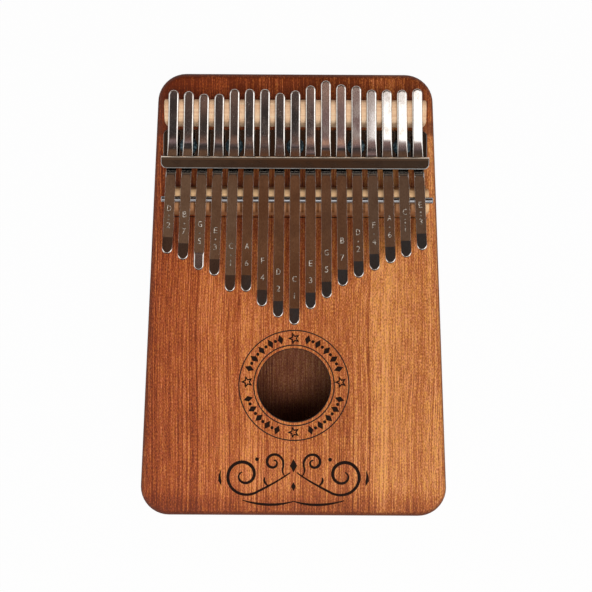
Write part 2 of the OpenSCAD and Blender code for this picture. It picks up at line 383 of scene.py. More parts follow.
# The tone rises to the right: partly the wood's own colour, partly painted light from the right
TONE_AND_LIGHT_PER_MM = 0.0018
RIBBON_EDGES = (-40.8, -22.7, 31.7)
RIBBON_W = 24
RIBBON_TONE = 0.13
RIBBON_LINE_TONE = -0.12
# Painted shade towards the far and near ends of the board
FAR_END_SHADE = -0.36
NEAR_END_SHADE = -0.2
RING_BLUR = 0.04


def wood_grain(graph, shift, walls):
    """Where to read the grain: each board has its own stretch of it, turned on the end walls."""
    place = graph.place()
    if walls:
        x, y, z = graph.parts(place)
        on_end = graph.math("GREATER_THAN", graph.absolute(graph.normal()[1]), 0.7)
        place = graph.mix(on_end, place, graph.add("CombineXYZ", {0: y, 1: x, 2: z}).outputs[0])
    grain = graph.moved(place, shift)
    sway = graph.math("MULTIPLY_ADD", graph.noise(grain, *WANDER), SWAY, -SWAY / 2)
    return graph.moved(grain, graph.add("CombineXYZ", {0: sway}).outputs[0])


def wood_tone(graph, grain, fibres, x, y):
    """How light the figure is: a rise to the right that is partly painted light, streaky layers, ribbons
    along the grain, and painted shade towards both ends of the board.
    """
    bands = graph.noise(grain, *BANDS)
    streaks = graph.noise(grain, *STREAKS)
    fleck = graph.noise(grain, *FLECK)
    layers = ((bands, 0.3), (streaks, 1.0), (fibres, 0.75), (fleck, 1.05))
    tone = graph.math("MULTIPLY_ADD", x, TONE_AND_LIGHT_PER_MM, WOOD_TONE - sum(weight for _, weight in layers) / 2)
    for layer, weight in layers:
        tone = graph.math("MULTIPLY_ADD", layer, weight, tone)
    for edge in RIBBON_EDGES:
        past = graph.math("SUBTRACT", graph.parts(grain)[0], edge)
        rise = graph.span(past, -0.5, 0.5, 0.0, RIBBON_TONE)
        fall = graph.span(past, 0.0, RIBBON_W, 0.0, -RIBBON_TONE)
        line = graph.span(graph.absolute(past), 0.9, 0.2, 0.0, RIBBON_LINE_TONE)
        for change in (rise, fall, line):
            tone = graph.math("ADD", tone, change)
    # Painted shade: the board darkens towards its far and near ends
    for start, end, change in ((60, 90, FAR_END_SHADE), (-80, -90, NEAR_END_SHADE)):
        tone = graph.math("ADD", tone, graph.span(y, start, end, 0.0, change))
    return tone


def soundboard_marks_and_shade(graph, colour, x, y):
    """Scorches the sound hole's rim and rings, and paints shade on the board near the bracket, under the
    tines and behind the front bridge.
    """
    from_hole = graph.add("CombineXYZ", {0: x, 1: graph.math("SUBTRACT", y, HOLE_Y)}).outputs[0]
    radius = graph.add("VectorMath", {0: from_hole}, operation="LENGTH").outputs["Value"]
    scorch = graph.span(radius, HOLE_R + 0.45, HOLE_R + 0.2)
    for ring_r in (INNER_RING_R, OUTER_RING_R):
        off = graph.absolute(graph.math("SUBTRACT", radius, ring_r))
        ring = graph.span(off, RING_W / 2 + RING_BLUR, RING_W / 2 - RING_BLUR)
        scorch = graph.math("MAXIMUM", scorch, ring)
    colour = graph.mix(scorch, colour, BURNT)
    # Painted shade on the strip of board between the rear bridge and the bracket
    bracket_shade = graph.within((y, ROD_Y + 27, ROD_Y + 29), (y, ROD_Y + 35, ROD_Y + 33))
    colour = graph.cover(colour, WOOD_EDGE_SHADE, bracket_shade, 0.6)
    row_ends = (graph.absolute(x), 57, 52)
    # Painted shade under the tines
    tine_shade = graph.within((y, ROD_Y - 21, ROD_Y - 9), (y, ROD_Y + 18, ROD_Y + 14), row_ends)
    colour = graph.cover(colour, WOOD_SHADE, tine_shade, 0.36)
    # Painted shadow of the front bridge on the board behind it
    bridge_shadow = graph.within((y, ROD_Y + 12, ROD_Y + 5), (y, ROD_Y, ROD_Y + 2))
    return graph.cover(colour, WOOD_SHADE, graph.math("MULTIPLY", tine_shade, bridge_shadow), 0.6)


def mahogany(name, shift, walls=False, rosette=False, shade_inside=False):
    """Satin mahogany with its grain along Y, or along the wall on the walls of the box. Painted shade darkens
    the boards' rounded edges, the inside face of the back, and the soundboard near the bracket and under the
    tines.
    """
    graph = material_graph(name)
    x, y, _ = graph.parts(graph.place())
    grain = wood_grain(graph, shift, walls)
    fibres = graph.noise(grain, *FIBRES)
    tone = wood_tone(graph, grain, fibres, x, y)
    colour = graph.ramp(tone, ((0.15, WOOD_DARK), (0.5, WOOD_MID), (0.85, WOOD_LIGHT)))
    pores = graph.span(graph.noise(grain, *PORES), 0.62, 0.74)
    colour = graph.cover(colour, WOOD_PORE, pores, 0.45)
    sheen = graph.span(graph.noise(grain, *SHEEN), 0.38, 0.62)
    colour = graph.mix(1.0, colour, graph.mix(sheen, WOOD_ROSE, WOOD_GOLD), "MULTIPLY")
    # Partly the wood's own colour, partly painted light from the right
    side_tint_and_light = graph.mix(graph.span(x, -60, 60), LEFT_TINT_AND_SHADE, RIGHT_TINT_AND_LIGHT)
    colour = graph.mix(1.0, colour, side_tint_and_light, "MULTIPLY")
    shine = 0.35
    if not walls:
        tilt_x, tilt_y, upright = graph.normal()
        shine = graph.span(graph.absolute(upright), 0.98, 0.5, shine, 0.08)
        # Painted shade: the rounded edges darken as they turn away from up, most on the near, far and left
        # edges
        rim = graph.span(graph.absolute(upright), 0.9, 0.3, 0.0, 0.75)
        for tilt, far, share in ((tilt_y, 1.0, 0.7), (tilt_y, -0.75, 0.85), (tilt_x, -1.0, 0.6)):
            rim = graph.math("MAXIMUM", rim, graph.span(tilt, 0.0, far, 0.0, share))
        colour = graph.mix(rim, colour, WOOD_EDGE_SHADE)
    if shade_inside:
        # Painted shade on the inside face of the back, in the box
        inside_shade_share = graph.span(upright, 0.3, 0.7)
        colour = graph.mix(inside_shade_share, colour, graph.mix(1.0, colour, INSIDE_SHADE, "MULTIPLY"))
    # The soundboard also gets its burnt rings and its painted shade here
    if rosette:
        colour = soundboard_marks_and_shade(graph, colour, x, y)
    graph.bump(graph.math("SUBTRACT", fibres, pores), distance=0.05, strength=0.5)
    roughness = graph.span(fibres, 0.2, 0.8, 0.42, 0.56)
    graph.shade(Base_Color=colour, Roughness=roughness, Specular_IOR_Level=shine)
    return graph.owner


def maple(name, front_shade=False):
    """Pale wood of the bridges and the block, grained along X. It may get painted shade in front of the rod,
    under the tines, darkest in the middle of each gap.
    """
    graph = material_graph(name)
    place = graph.place()
    lines = graph.noise(place, (60, 0.8, 0.8), 3.0)
    cloud = graph.noise(place, (9, 5, 5), 2.0)
    flecks = graph.span(graph.noise(place, (0.5, 2.2, 2.2), 1.0), 0.62, 0.72)
    tone = graph.math("MULTIPLY_ADD", lines, 0.7, graph.math("MULTIPLY", cloud, 0.3))
    colour = graph.ramp(tone, ((0.3, MAPLE_DARK), (0.55, MAPLE_MID), (0.75, MAPLE_LIGHT)))
    colour = graph.cover(colour, MAPLE_FLECK, flecks, 0.35)
    if front_shade:
        x, y, _ = graph.parts(place)
        # Painted shade of the tines on the near half of the front bridge
        near = graph.span(y, ROD_Y - 0.6, ROD_Y - 2.0)
        under_tines = graph.span(graph.absolute(x), 54.2, 53.4)
        # Painted shade, darkest in the middle of each gap between the tines near the low edge
        between = graph.span(graph.math("PINGPONG", x, TINE_PITCH / 2), 2.4, 2.9)
        low_edge = graph.math("MULTIPLY", near, graph.span(y, ROD_Y - 5.6, ROD_Y - 4.6))
        colour = graph.mix(0.6, colour, MAPLE_AMBER)
        colour = graph.cover(colour, MAPLE_SHADE, near, under_tines)
        colour = graph.cover(colour, MAPLE_GAP_SHADE, graph.math("MULTIPLY", between, low_edge), under_tines)
    graph.bump(lines, distance=0.03, strength=0.4)
    roughness = graph.span(lines, 0.3, 0.7, 0.5, 0.62)
    graph.shade(Base_Color=colour, Roughness=roughness, Specular_IOR_Level=0.3)
    return graph.owner


def tine_steel():
    """Bright steel with smudges, grit and fine scratches along the tine, with painted shade on the end of its
    tip.
    """
    graph = material_graph("tine_steel")
    place = graph.place()
    smudge = graph.noise(place, (5, 7, 5), 3.0)
    scratch = graph.noise(place, (0.18, 9, 0.18), 2.0, 0.6)
    marks = graph.span(graph.noise(place, (0.12, 2.6, 0.12), 1.0), 0.68, 0.76)
    grit = graph.span(graph.noise(place, (0.4, 1.0, 0.4), 1.0), 0.35, 0.65)
    colour = graph.mix(graph.span(smudge, 0.42, 0.72), STEEL_CLEAN, STEEL_RUBBED)
    colour = graph.mix(grit, graph.mix(1.0, colour, STEEL_GRIT, "MULTIPLY"), colour)
    tilt_x, tilt_y, _ = graph.normal()
    # Painted shade on the forward face of the tip's end, which hides the low white strip it would mirror
    tip_end = graph.within((tilt_y, -0.15, -0.35), (graph.absolute(tilt_x), 0.7, 0.35))
    colour = graph.mix(tip_end, colour, STEEL_TIP_END_SHADE)
    roughness = graph.math("MULTIPLY_ADD", marks, 0.12, graph.span(smudge, 0.3, 0.75, 0.04, 0.12))
    graph.bump(scratch, distance=0.004, strength=0.25)
    graph.shade(Base_Color=colour, Roughness=roughness, Metallic=1.0)
    return graph.owner


def bracket_chrome():
    """Dark chrome with smudges, with a painted highlight along the rear of the lip and painted shade on the
    flange below it.
    """
    graph = material_graph("bracket_chrome")
    place = graph.place()
    _, y, z = graph.parts(place)
    smudge = graph.noise(place, (5, 3, 5), 3.0)
    scratch = graph.noise(place, (6, 0.2, 0.2), 2.0, 0.6)
    colour = graph.mix(graph.span(smudge, 0.42, 0.72), CHROME_CLEAN, CHROME_SMUDGED)
    # Painted highlight along the rear of the lip
    rubbed = graph.within((z, LIP_Z - 1.5, LIP_Z - 1.0), (y, LIP_HIGHLIGHT_Y - 0.15, LIP_HIGHLIGHT_Y + 0.15))
    colour = graph.mix(rubbed, colour, CHROME_PAINTED_HIGHLIGHT)
    # Painted shade on the flange below the lip
    flange_shade = graph.span(z, LIP_Z - 3.0, LIP_Z - 5.0, 0.0, 0.6)
    colour = graph.mix(flange_shade, colour, CHROME_SHADE)
    graph.bump(scratch, distance=0.004, strength=0.25)
    graph.shade(Base_Color=colour, Roughness=graph.span(smudge, 0.3, 0.75, 0.1, 0.18), Metallic=1.0)
    return graph.owner


def rod_steel():
    """Bright metal with fine rings left by the lathe, which spread its shine along X."""
    graph = material_graph("rod_steel")
    place = graph.place()
    rings = graph.noise(place, (0.09, 30, 30), 2.0)
    smudge = graph.noise(place, (6, 6, 6), 2.0)
    graph.bump(rings, distance=0.028, strength=1.0)
    graph.shade(Base_Color=ROD_STEEL, Roughness=graph.span(smudge, 0.3, 0.7, 0.1, 0.2), Metallic=1.0)
    return graph.owner


def stamped_metal():
    """The rough bottom of the stamped marks, which catches the light here and there."""
    graph = material_graph("stamped_steel")
    place = graph.place()
    grit = graph.noise(place, (0.5, 0.5, 0.5), 2.0)
    colour = graph.mix(graph.span(grit, 0.42, 0.62), STAMP_DULL, STAMP_BRIGHT)
    graph.bump(grit, distance=0.05, strength=0.6)
    graph.shade(Base_Color=colour, Roughness=graph.span(grit, 0.3, 0.7, 0.3, 0.5), Metallic=0.85)
    return graph.owner


def black_zinc():
    """Dark blue-black plating of the screws, rubbed lighter in places."""
    graph = material_graph("black_zinc")
    place = graph.place()
    rub = graph.noise(place, (1.2, 1.2, 1.2), 3.0)
    colour = graph.mix(graph.span(rub, 0.45, 0.7), ZINC_DARK, ZINC_RUBBED)
    graph.bump(rub, distance=0.02, strength=0.3)
    graph.shade(Base_Color=colour, Roughness=graph.span(rub, 0.3, 0.7, 0.3, 0.45), Metallic=0.4)
    return graph.owner


def burnt_wood():
    """The scorched bed of the burnt ornament."""
    graph = material_graph("burnt_wood")
    place = graph.place()
    char = graph.noise(place, (0.5, 2.0, 0.5), 3.0)
    colour = graph.mix(graph.span(char, 0.4, 0.75), CHAR_DARK, CHAR_BROWN)
    graph.bump(char, distance=0.05, strength=0.5)
    graph.shade(Base_Color=colour, Roughness=graph.span(char, 0.3, 0.7, 0.7, 0.9), Specular_IOR_Level=0.2)
    return graph.owner


def smoothing_group():
    """Geometry nodes that join split points and smooth everything but the true edges."""
    group = bpy.data.node_groups.new("soft_shading", "GeometryNodeTree")
    group.interface.new_socket("Geometry", in_out="INPUT", socket_type="NodeSocketGeometry")
    group.interface.new_socket("Geometry", in_out="OUTPUT", socket_type="NodeSocketGeometry")
    start = group.nodes.new("NodeGroupInput")
    end = group.nodes.new("NodeGroupOutput")
    plain = group.nodes.new("GeometryNodeRemoveAttribute")
    plain.inputs["Name"].default_value = "custom_normal"
    weld = group.nodes.new("GeometryNodeMergeByDistance")
    weld.inputs["Distance"].default_value = WELD * MM
    soft = group.nodes.new("GeometryNodeSetShadeSmooth")
    soft.inputs["Shade Smooth"].default_value = True
    crisp = group.nodes.new("GeometryNodeSetShadeSmooth")
    crisp.domain = "EDGE"
    crisp.inputs["Shade Smooth"].default_value = False
    angle = group.nodes.new("GeometryNodeInputMeshEdgeAngle")
    steep = group.nodes.new("FunctionNodeCompare")
    steep.operation = "GREATER_THAN"
    steep.inputs[1].default_value = TRUE_EDGE
    group.links.new(start.outputs[0], plain.inputs[0])
    group.links.new(plain.outputs[0], weld.inputs[0])
    group.links.new(weld.outputs[0], soft.inputs[0])
    group.links.new(soft.outputs[0], crisp.inputs[0])
    group.links.new(angle.outputs[0], steep.inputs[0])
    group.links.new(steep.outputs[0], crisp.inputs["Selection"])
    group.links.new(crisp.outputs[0], end.inputs[0])
    return group


def soften(node, group, edge=0.0):
    """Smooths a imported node's shading and, if an edge width in mm is given, breaks its sharp edges."""
    smoothing = nodes[node].modifiers.new("soft_shading", "NODES")
    smoothing.node_group = group
    if edge:
        flat = nodes[node].modifiers.new("flat_faces", "DECIMATE")
        flat.decimate_type = "DISSOLVE"
        flat.angle_limit = FLAT_EDGE
        broken = nodes[node].modifiers.new("broken_edges", "BEVEL")
        broken.width = edge * MM
        broken.segments = BROKEN_STEPS
        broken.limit_method = "ANGLE"
        broken.angle_limit = BROKEN_EDGE
        broken.harden_normals = True
        broken.use_clamp_overlap = False


def dress(node, material):
    """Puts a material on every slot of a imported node."""
    for slot in nodes[node].material_slots:
        slot.material = material


class Tine:
    """A tine's place and side view in mm: x across, y from the rod to the tail, z up from the board."""

    def __init__(self, number):
        self.number = number
        self.name = f"tine_{number:02d}"
        self.tongue = f"tongue_{number:02d}"
        axis = joints[self.name + "_tune"]["axis"]
        rod = joints[self.name + "_pluck"]["pos_m"]
        self.along = Vector((axis[0], axis[1]))
        self.across = Vector((axis[1], -axis[0]))
        self.rod = Vector((rod[0], rod[1]))
        half = TINE_W / 2
        tip_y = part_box(self.name + "_tongue")[0].y
        tail_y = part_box(self.name + "_shank")[1].y
        self.free = ((self.rod.y - tip_y) / MM - half) / self.along.y + half
        self.tail = ((tail_y - self.rod.y) / MM - half) / self.along.y + half
        self.crease = TIP_LEN - self.free
        self.drooping = number == DROOPING_TINE
        chance = random.Random(LEAN_SEED + number)
        self.tail_lean = chance.uniform(-TAIL_LEAN, TAIL_LEAN)
        self.tongue_lean = chance.uniform(-TONGUE_LEAN, TONGUE_LEAN)
        self.bow = chance.uniform(0.0, TAIL_BOW)
        self.flat_far = FLAT_FAR - chance.uniform(0.0, BEND_STRAY)
        self.draw_side()

    def draw_side(self):
        """Samples the underside's height and slope along the tine, with the bends rounded."""
        spare = 2 * TAIL_BEND_R
        crease_z = SEAT_H - self.crease * TONGUE_RISE
        tip_rise = DROOPING_TIP_RISE if self.drooping else TIP_RISE
        corners = (
            (-self.free - spare, crease_z + (TIP_LEN + spare) * tip_rise),
            (self.crease, crease_z),
            (RAMP_Y, SEAT_H - RAMP_Y * TONGUE_RISE),
            (FLAT_NEAR, PRESS_H),
            (self.flat_far, PRESS_H),
            (self.tail + spare, PRESS_H + TAIL_RISE * (self.tail + spare - FLAT_FAR)),
        )
        self.ys = np.arange(corners[0][0], corners[-1][0], SIDE_STEP)
        sharp = np.interp(self.ys, *zip(*corners))
        self.zs = sharp.copy()
        bends = (
            (BEND_R, -self.free, FLAT_FAR - TAIL_BEND_R),
            (TAIL_BEND_R, FLAT_FAR - TAIL_BEND_R, self.tail),
        )
        for reach, first, last in bends:
            window = np.ones(2 * round(reach / SIDE_STEP) + 1)
            rounded = np.convolve(sharp, window / window.sum(), "same")
            stretch = (self.ys >= first) & (self.ys < last)
            self.zs[stretch] = rounded[stretch]
        along_tail = np.clip((self.ys - FLAT_FAR) / (self.tail - FLAT_FAR), 0.0, 1.0)
        self.zs += self.bow * np.sin(math.pi * along_tail) ** 2
        self.slopes = np.gradient(self.zs, self.ys)

    def lean(self, y):
        """Slope across the tine: none in the bracket, and a little to one side beyond it."""
        on_tail = smooth(y, FLAT_FAR, FLAT_FAR + TAIL_TWIST)
        on_tongue = 1 - smooth(y, RAMP_Y - TONGUE_TWIST_FAR, RAMP_Y - TONGUE_TWIST_NEAR)
        return on_tail * self.tail_lean + on_tongue * self.tongue_lean

    def place(self, x, y, height):
        """The point x across and y along the tine, at a height above its underside, in metres."""
        slope = math.atan(np.interp(y, self.ys, self.slopes))
        along = y - height * math.sin(slope)
        up = np.interp(y, self.ys, self.zs) + height * math.cos(slope) + x * self.lean(y)
        flat = self.rod + (self.across * x + self.along * along) * MM
        return Vector((flat.x, flat.y, BOARD_Z + up * MM))

    def bevel(self, y):
        """Width of the rounded top edge: wide on the tail and at the tip, narrow elsewhere."""
        tip_end = self.crease - DROOPING_ROUND_GAP if self.drooping else TIP_ROUND - self.free
        stops = (
            (tip_end, TIP_BEVEL),
            (tip_end + TIP_ROUND, TONGUE_BEVEL),
            (RAMP_Y - 1.1, TONGUE_BEVEL),
            (RAMP_Y - 0.4, RAMP_BEVEL),
            (RAMP_Y + 0.1, RAMP_BEVEL),
            (RAMP_Y + 0.7, TONGUE_BEVEL),
            (FLAT_NEAR + 2, TONGUE_BEVEL),
            (FLAT_FAR + 2.5, TAIL_BEVEL),
        )
        return float(np.interp(y, *zip(*stops)))

    def edge_loops(self, y):
        """Insets and heights of the loops that run round the tine, from below to its top."""
        wide = self.bevel(y)
        high = min(wide, BEVEL_H)
        loops = [(UNDER_BEVEL + HOLD, 0.0)]
        for turn in (math.pi / 2, math.pi / 4, 0.0):
            loops.append((UNDER_BEVEL * (1 - math.cos(turn)), UNDER_BEVEL * (1 - math.sin(turn))))
        for k in range(BEVEL_STEPS + 1):
            turn = math.pi / 2 * k / BEVEL_STEPS
            loops.append((wide * (1 - math.cos(turn)), TINE_T - high * (1 - math.sin(turn))))
        loops.append((wide + HOLD, TINE_T))
        return loops

    def rows(self):
        """Share of the half width, place along and share of the end's radius of each row of points."""
        first = TINE_W / 2 - self.free
        last = self.tail - TINE_W / 2
        stations = set(np.round(np.linspace(first, last, ROW_COUNT), 1))
        for bend in (self.crease, RAMP_Y, FLAT_NEAR, FLAT_FAR):
            stations.update(np.round(np.linspace(bend - BEND_REACH, bend + BEND_REACH, BEND_ROWS), 1))
        stations.update(np.round(np.arange(BEND_END, BEND_START, ROD_ROW_STEP), 1))
        straight = sorted(y for y in stations if first + ROW_GAP < y < last - ROW_GAP)
        turns = [math.pi / 2 * k / END_STEPS for k in range(END_STEPS + 1)]
        tip = [(math.cos(turn), first, -math.sin(turn)) for turn in reversed(turns)]
        tail = [(math.cos(turn), last, math.sin(turn)) for turn in turns]
        return tip + [(1.0, y, 0.0) for y in straight] + tail

    def mesh(self):
        """The whole tine as one closed mesh."""
        shape = bmesh.new()
        half = TINE_W / 2
        grid = []
        for wide, y, end in self.rows():
            row = []
            for inset, height in self.edge_loops(y + half * end):
                reach = half - inset
                pair = [self.place(side * reach * wide, y + reach * end, height) for side in (-1, 1)]
                row.append([shape.verts.new(point) for point in pair])
            grid.append(row)
        for row, after in zip(grid, grid[1:]):
            for k in range(len(row) - 1):
                for side in (0, 1):
                    shape.faces.new((row[k][side], after[k][side], after[k + 1][side], row[k + 1][side]))
            for k in (0, -1):
                shape.faces.new((row[k][0], after[k][0], after[k][1], row[k][1]))
        bmesh.ops.remove_doubles(shape, verts=shape.verts, dist=SAME_POINT * MM)
        bmesh.ops.recalc_face_normals(shape, faces=shape.faces)
        return finished_mesh(shape, self.name)

    def note(self):
        """Letter, number and count of octave dots. The scale starts in the middle and goes out in turn."""
        middle = (TINE_COUNT + 1) // 2
        out = abs(self.number - middle)
        degree = 2 * out if self.number >= middle else 2 * out - 1
        step = degree % len(SCALE_NOTES)
        return SCALE_NOTES[step], str(step + 1), degree // len(SCALE_NOTES)

    def stamp(self, shape, points, faces, y):
        """Lays a flat figure on the tine's top, with its middle at y."""
        laid = []
        for point in points:
            height = TINE_T + (MARK_PROUD if point[2] > 0 else -MARK_DEPTH)
            laid.append(shape.verts.new(self.place(point[0], y + point[1], height)))
        for face in faces:
            shape.faces.new([laid[k] for k in face])

    def marks(self, glyphs):
        """The stamped note letter, number and octave dots as thin solids."""
        shape = bmesh.new()
        dot = prism(round_rim((0.0, 0.0), DOT_R, DOT_SIDES))
        letter, digit, dots = self.note()
        self.stamp(shape, *glyphs[digit], self.crease + NUMBER_UP)
        self.stamp(shape, *glyphs[letter], self.crease + LETTER_UP)
        for k in range(dots):
            self.stamp(shape, *dot, self.crease + DOT_UP + (k - (dots - 1) / 2) * DOT_PITCH)
        bmesh.ops.recalc_face_normals(shape, faces=shape.faces)
        return finished_mesh(shape, self.name + "_marks")

    def blend(self, piece):
        """Bakes the piece's place into its mesh. It finds where the tongue's bend starts and ends, but does
        not bend the piece.
        """
        start = self.place(0, BEND_START, 0)
        end = self.place(0, BEND_END, 0)
        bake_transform(piece)


def finished_mesh(shape, name):
    """Turns a drawn shape into a smooth-shaded mesh."""
    mesh = bpy.data.meshes.new(name)
    shape.to_mesh(mesh)
    shape.free()
    mesh.shade_smooth()
    return mesh


def new_object(mesh, material):
    mesh.materials.append(material)
    piece = bpy.data.objects.new(mesh.name, mesh)
    bpy.context.scene.collection.objects.link(piece)
    return piece


def on_circle(centre, radius, angle):
    return (centre[0] + radius * math.cos(angle), centre[1] + radius * math.sin(angle))


def round_rim(centre, radius, sides):
    """Points round a circle."""
    return [on_circle(centre, radius, math.tau * k / sides) for k in range(sides)]


def prism(rim):
    """Points and faces of a thin plate with the given rim. The sign of z tells its two levels apart."""
    count = len(rim)
    points = [(x, y, level) for level in (-1, 1) for x, y in rim]
    faces = [tuple(range(count)), tuple(range(count, 2 * count))]
    for k in range(count):
        after = (k + 1) % count
        faces.append((k, after, count + after, count + k))
    return points, faces


def glyph(character):
    """Points and faces of a character as a thin plate, in mm, centred on zero."""
    curve = bpy.data.curves.new("glyph", "FONT")
    curve.body = character
    curve.extrude = GLYPH_LEVEL
    curve.resolution_u = 3
    text = bpy.data.objects.new("glyph", curve)
    bpy.context.scene.collection.objects.link(text)
    evaluated = text.evaluated_get(bpy.context.evaluated_depsgraph_get())
    mesh = bpy.data.meshes.new_from_object(evaluated)
    shape = bmesh.new()
    shape.from_mesh(mesh)
    bmesh.ops.remove_doubles(shape, verts=shape.verts, dist=GLYPH_LEVEL / 100)
    corners = np.array([vertex.co for vertex in shape.verts])
    low, high = corners.min(axis=0), corners.max(axis=0)
    scale = GLYPH_H / (high[1] - low[1])
    narrow = min(scale, GLYPH_W / (high[0] - low[0]))
    middle = (low + high) / 2
    points = [tuple((corner - middle) * (narrow, scale, 1.0)) for corner in corners]
    faces = [[vertex.index for vertex in face.verts] for face in shape.faces]
    shape.free()
    bpy.data.objects.remove(text)
    bpy.data.curves.remove(curve)
    bpy.data.meshes.remove(mesh)
    return points, faces


class Ornament:
    """Burnt figures on the soundboard, drawn in mm and kept as thin closed solids."""

    def __init__(self, name):
        self.name = name
        self.shape = bmesh.new()

    def corner(self, point, top):
        height = BURN_UP if top else -BURN_DOWN
        return self.shape.verts.new((point[0] * MM, point[1] * MM, BOARD_Z + height * MM))

    def plate(self, rim):
        """A filled figure with the given rim."""
        points, faces = prism(rim)
        corners = [self.corner(point, point[2] > 0) for point in points]
        for face in faces:
            self.shape.faces.new([corners[k] for k in face])

    def band(self, left, right, closed):
        """A line between two edges, which may close on itself."""
        columns = []
        for a, b in zip(left, right):
            places = ((a, True), (b, True), (b, False), (a, False))
            columns.append([self.corner(point, top) for point, top in places])
        pairs = list(zip(columns, columns[1:]))
        if closed:
            pairs.append((columns[-1], columns[0]))
        else:
            self.shape.faces.new(columns[0])
            self.shape.faces.new(columns[-1])
        for column, after in pairs:
            for k in range(4):
                self.shape.faces.new((column[k], after[k], after[k - 1], column[k - 1]))

    def stroke(self, path, thin, thick):
        """A pen line along a path that swells from thin at its ends to thick in the middle."""
        left, right = [], []
        last = len(path) - 1
        for k, point in enumerate(path):
            ahead = Vector(path[min(k + 1, last)]) - Vector(path[max(k - 1, 0)])
            side = Vector((-ahead.y, ahead.x)).normalized()
            half = (thin + (thick - thin) * math.sin(math.pi * k / last)) / 2
            left.append(Vector(point) + side * half)
            right.append(Vector(point) - side * half)
        self.band(left, right, False)

    def finish(self, material):
        """Makes the piece, which rides on the body."""
        bmesh.ops.recalc_face_normals(self.shape, faces=self.shape.faces)
        mesh = bpy.data.meshes.new(self.name)
        self.shape.to_mesh(mesh)
        self.shape.free()
        piece = new_object(mesh, material)
        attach(piece, "body")


def turned(point, angle, centre):
    """A point turned by an angle and moved to a centre."""
    x = point[0] * math.cos(angle) - point[1] * math.sin(angle)
    y = point[0] * math.sin(angle) + point[1] * math.cos(angle)
    return (centre[0] + x, centre[1] + y)


def star_rim(centre, radius):
    """A five-pointed star with one point to the left."""
    rim = []
    for k in range(10):
        reach = radius if k % 2 == 0 else radius * STAR_WAIST
        rim.append(on_circle(centre, reach, math.pi + math.pi * k / 5))
    return rim


def rosette(material):
    """Four outlined stars round the sound hole, with rows of lozenges and dots between them."""
    ornament = Ornament("rosette")
    hole = (0.0, HOLE_Y)
    stars = (SIDE_STAR_UP, math.pi / 2, math.pi - SIDE_STAR_UP, 1.5 * math.pi)
    for star, after in zip(stars, stars[1:] + (math.tau + SIDE_STAR_UP,)):
        centre = on_circle(hole, STAR_AT_R, star)
        ornament.band(star_rim(centre, STAR_R), star_rim(centre, STAR_INNER_R), True)
        for k in range(MOTIF_COUNT):
            angle = (star + after) / 2 + MOTIF_STEP * (k - (MOTIF_COUNT - 1) / 2)
            middle = on_circle(hole, MOTIF_AT_R, angle)
            if k % 2:
                ornament.plate(round_rim(middle, ROSETTE_DOT_R, ORNAMENT_DOT_SIDES))
            else:
                wide, tall = LOZENGE
                rim = ((tall, 0), (0, wide), (-tall, 0), (0, -wide))
                ornament.plate([turned(point, angle, middle) for point in rim])
    ornament.finish(material)


def bezier(a, b, c, d, count=14):
    """Points along a curve from a to d that leaves towards b and arrives from c."""
    path = []
    for k in range(count):
        t = k / count
        weights = ((1 - t) ** 3, 3 * t * (1 - t) ** 2, 3 * t * t * (1 - t), t ** 3)
        path.append(tuple(sum(w * p[axis] for w, p in zip(weights, (a, b, c, d))) for axis in (0, 1)))
    return path


def spiral(centre, start_r, end_r, start, turns, count=60):
    """Points along a curl that winds in from start_r to end_r. Positive turns go anticlockwise."""
    path = []
    for k in range(count + 1):
        t = k / count
        radius = start_r + (end_r - start_r) * t ** CURL_EASE
        path.append(on_circle(centre, radius, math.radians(start) + math.tau * turns * t))
    return path


def on_scroll(path, side=1):
    """A path of the scroll, put in its place on the soundboard. Side -1 mirrors it to the left."""
    return [(side * x * SCROLL_SCALE, SCROLL_Y + y * SCROLL_SCALE) for x, y in path]


def scroll(material):
    """A symmetrical scroll: on each side a large curl, a small one and a leaf, about a lozenge."""
    ornament = Ornament("scroll")
    large = bezier((1.2, 0.6), (5, -2.2), (10.2, -5.0), (15.0, -7.4))
    large += spiral((19.0, -0.5), 8.0, 1.3, -120, 1.5)
    small = bezier((3.2, -0.8), (4.4, 0.4), (4.4, 1.6), (3.9, 3.0), 8)
    small += spiral((7.7, 4.4), 4.0, 0.8, 200, -1.3, 36)
    sweep = bezier((0.0, -10.4), (6, -12.4), (13, -12.2), (20.5, -9.8), 24)
    tendril = bezier((9.6, -4.6), (11.4, -3.4), (11.6, -2.0), (10.6, -0.9), 10)
    leaf = ((27.6, -4.6), (28.9, -2.6), (28.7, -0.4), (27.7, 1.8), (27.9, -0.6), (27.6, -2.6))
    strokes = ((large, 0.55, 1.4), (small, 0.5, 1.2), (sweep, 0.4, 1.1), (tendril, 0.4, 1.0))
    dot = round_rim(SCROLL_DOT_AT, SCROLL_DOT_R, ORNAMENT_DOT_SIDES)
    for side in (-1, 1):
        for line, thin, thick in strokes:
            ornament.stroke(on_scroll(line, side), thin, thick)
        ornament.plate(on_scroll(leaf, side))
        ornament.plate(on_scroll(dot, side))
    for y, tall in SCROLL_LOZENGES:
        wide = tall * SCROLL_LOZENGE_W
        ornament.plate(on_scroll(((0, y + tall), (wide, y), (0, y - tall), (-wide, y))))
    ornament.finish(material)


def bridge_line(material):
    """A thin dark line on the soundboard, just in front of the near foot of the front bridge."""
    low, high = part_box("front_bridge")
    y = low.y / MM - BRIDGE_LINE_OFF
    ends = (low.x / MM, high.x / MM)
    ornament = Ornament("bridge_line")
    ornament.band([(x, y + BRIDGE_LINE_W) for x in ends], [(x, y) for x in ends], False)
    ornament.finish(material)


